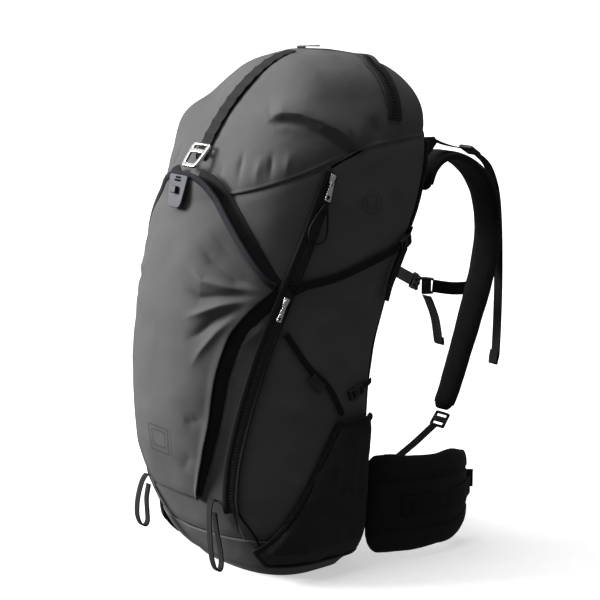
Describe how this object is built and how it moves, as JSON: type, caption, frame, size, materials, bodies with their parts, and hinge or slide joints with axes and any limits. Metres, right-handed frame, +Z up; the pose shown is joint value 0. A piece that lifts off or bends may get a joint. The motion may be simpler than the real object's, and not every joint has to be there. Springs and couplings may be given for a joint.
{
  "type": "ski backpack",
  "caption": "Tall hooded ski backpack with a domed lid held by a strap and hook, a front pocket, a side zip, mesh side pockets, padded shoulder straps and hip wings.",
  "frame": {"origin": "middle of the flat base that the backpack stands on", "axes": "+Z up, -Y towards the front pocket, +Y towards the wearer, +X towards the side with the zip"},
  "size_m": [0.316, 0.5178, 0.6613],
  "materials": {
    "shell_fabric": "fine plain weave, dull",
    "side_fabric": "fine plain weave, dull",
    "back_fabric": "coarse weave",
    "spacer_mesh": "open spacer mesh over foam",
    "stretch_mesh": "stretch mesh",
    "padded_fabric": "foam padding under woven cloth",
    "webbing": "ribbed webbing",
    "binding": "grosgrain tape",
    "zip_tape": "woven tape with a coated coil",
    "tag_fabric": "woven label, blank",
    "cord": "braided cord",
    "frame_plastic": "matte sheet",
    "patch_plastic": "moulded, matte",
    "black_plastic": "moulded, satin",
    "stay_metal": "plain drawn bar",
    "bright_metal": "cast and tumbled"
  },
  "bodies": {
    "bag": {"bottom_panel": "shell_fabric", "front_body_panel": "shell_fabric", "side_panel_right": "side_fabric", "side_panel_left": "side_fabric", "back_panel": "back_fabric", "frame_sheet": "frame_plastic", "frame_stay_right": "stay_metal", "frame_stay_left": "stay_metal", "back_pad": "spacer_mesh", "lumbar_pad": "spacer_mesh", "pocket_gusset_right": "shell_fabric", "pocket_gusset_left": "shell_fabric", "side_zip_tape": "zip_tape", "mesh_pocket_right": "stretch_mesh", "mesh_pocket_left": "stretch_mesh", "upper_strap_right": "webbing", "upper_strap_left": "webbing", "upper_buckle_right": "black_plastic", "upper_buckle_left": "black_plastic", "side_strap_right": "webbing", "side_strap_left": "webbing", "side_buckle_right": "black_plastic", "side_buckle_left": "black_plastic", "woven_tag": "tag_fabric", "shoulder_strap_right": "padded_fabric", "shoulder_strap_left": "padded_fabric", "load_lifter_right": "webbing", "load_lifter_left": "webbing", "lifter_lock_right": "black_plastic", "lifter_lock_left": "black_plastic", "lower_web_right": "webbing", "lower_web_left": "webbing", "lower_lock_right": "black_plastic", "lower_lock_left": "black_plastic"},
    "front_pocket": {"front_pocket_panel": "shell_fabric", "pocket_binding": "binding", "hook_patch": "patch_plastic", "catch_knob": "black_plastic"},
    "lid": {"lid_shell": "shell_fabric", "lid_zip_tape": "zip_tape", "top_strap": "webbing"},
    "lid_slider": {"lid_zip_slider": "bright_metal"},
    "hook": {"hook_buckle": "bright_metal"},
    "upper_slider": {"upper_zip_slider": "bright_metal"},
    "upper_pull": {"upper_zip_pull": "bright_metal", "pull_cord": "cord"},
    "lower_slider": {"lower_zip_slider": "bright_metal"},
    "sternum_right": {"sternum_web_right": "webbing", "sternum_socket": "black_plastic"},
    "sternum_left": {"sternum_web_left": "webbing", "sternum_plug": "black_plastic"},
    "hip_right": {"hip_wing_right": "padded_fabric", "hip_socket": "black_plastic"},
    "hip_left": {"hip_wing_left": "padded_fabric", "hip_plug": "black_plastic"},
    "haul": {"haul_loop": "webbing"},
    "gear_right": {"gear_loop_right": "webbing"},
    "gear_left": {"gear_loop_left": "webbing"}
  },
  "joints": [
    {"name": "lid_hinge", "type": "hinge", "parent": "bag", "child": "lid", "pos_m": [0, 0.205, 0.5505], "axis": [-1, 0, 0], "range_deg": [0, 95]},
    {"name": "lid_zip_slide", "type": "slide", "parent": "lid", "child": "lid_slider", "axis": [1, 0, 0], "range_m": [0, 0.12]},
    {"name": "hook_pivot", "type": "hinge", "parent": "lid", "child": "hook", "pos_m": [0, -0.0793, 0.5465], "axis": [-1, 0, 0], "range_deg": [0, 60]},
    {"name": "pocket_fold", "type": "hinge", "parent": "bag", "child": "front_pocket", "pos_m": [0, -0.1262, 0.1115], "axis": [1, 0, 0], "range_deg": [0, 10]},
    {"name": "upper_zip_slide", "type": "slide", "parent": "bag", "child": "upper_slider", "axis": [-0.005, -0.4178, -0.9085], "range_m": [0, 0.085]},
    {"name": "zip_pull_swing", "type": "hinge", "parent": "upper_slider", "child": "upper_pull", "pos_m": [0.1414, 0.0116, 0.5103], "axis": [-0.0595, -0.9259, 0.373], "range_deg": [0, 50]},
    {"name": "lower_zip_slide", "type": "slide", "parent": "bag", "child": "lower_slider", "axis": [-0.1241, -0.3629, -0.9235], "range_m": [0, 0.08]},
    {"name": "sternum_height", "type": "slide", "parent": "bag", "child": "sternum_right", "axis": [0, 0.385, 0.9229], "range_m": [-0.02, 0.03]},
    {"name": "sternum_adjust", "type": "slide", "parent": "sternum_right", "child": "sternum_left", "axis": [-0.9061, -0.1636, 0.3901], "range_m": [0, 0.012]},
    {"name": "hip_wing_right_hinge", "type": "hinge", "parent": "bag", "child": "hip_right", "pos_m": [0.108, 0.098, 0.075], "axis": [0, 0, 1], "range_deg": [-12, 15]},
    {"name": "hip_wing_left_hinge", "type": "hinge", "parent": "bag", "child": "hip_left", "pos_m": [-0.108, 0.098, 0.075], "axis": [0, 0, -1], "range_deg": [-12, 15]},
    {"name": "haul_loop_swing", "type": "hinge", "parent": "bag", "child": "haul", "pos_m": [0, 0.207, 0.539], "axis": [1, 0, 0], "range_deg": [0, 90]},
    {"name": "gear_loop_right_swing", "type": "hinge", "parent": "bag", "child": "gear_right", "pos_m": [0.07, -0.1197, 0.1165], "axis": [-1, 0, 0], "range_deg": [0, 80]},
    {"name": "gear_loop_left_swing", "type": "hinge", "parent": "bag", "child": "gear_left", "pos_m": [-0.07, -0.1197, 0.1165], "axis": [-1, 0, 0], "range_deg": [0, 80]}
  ]
}
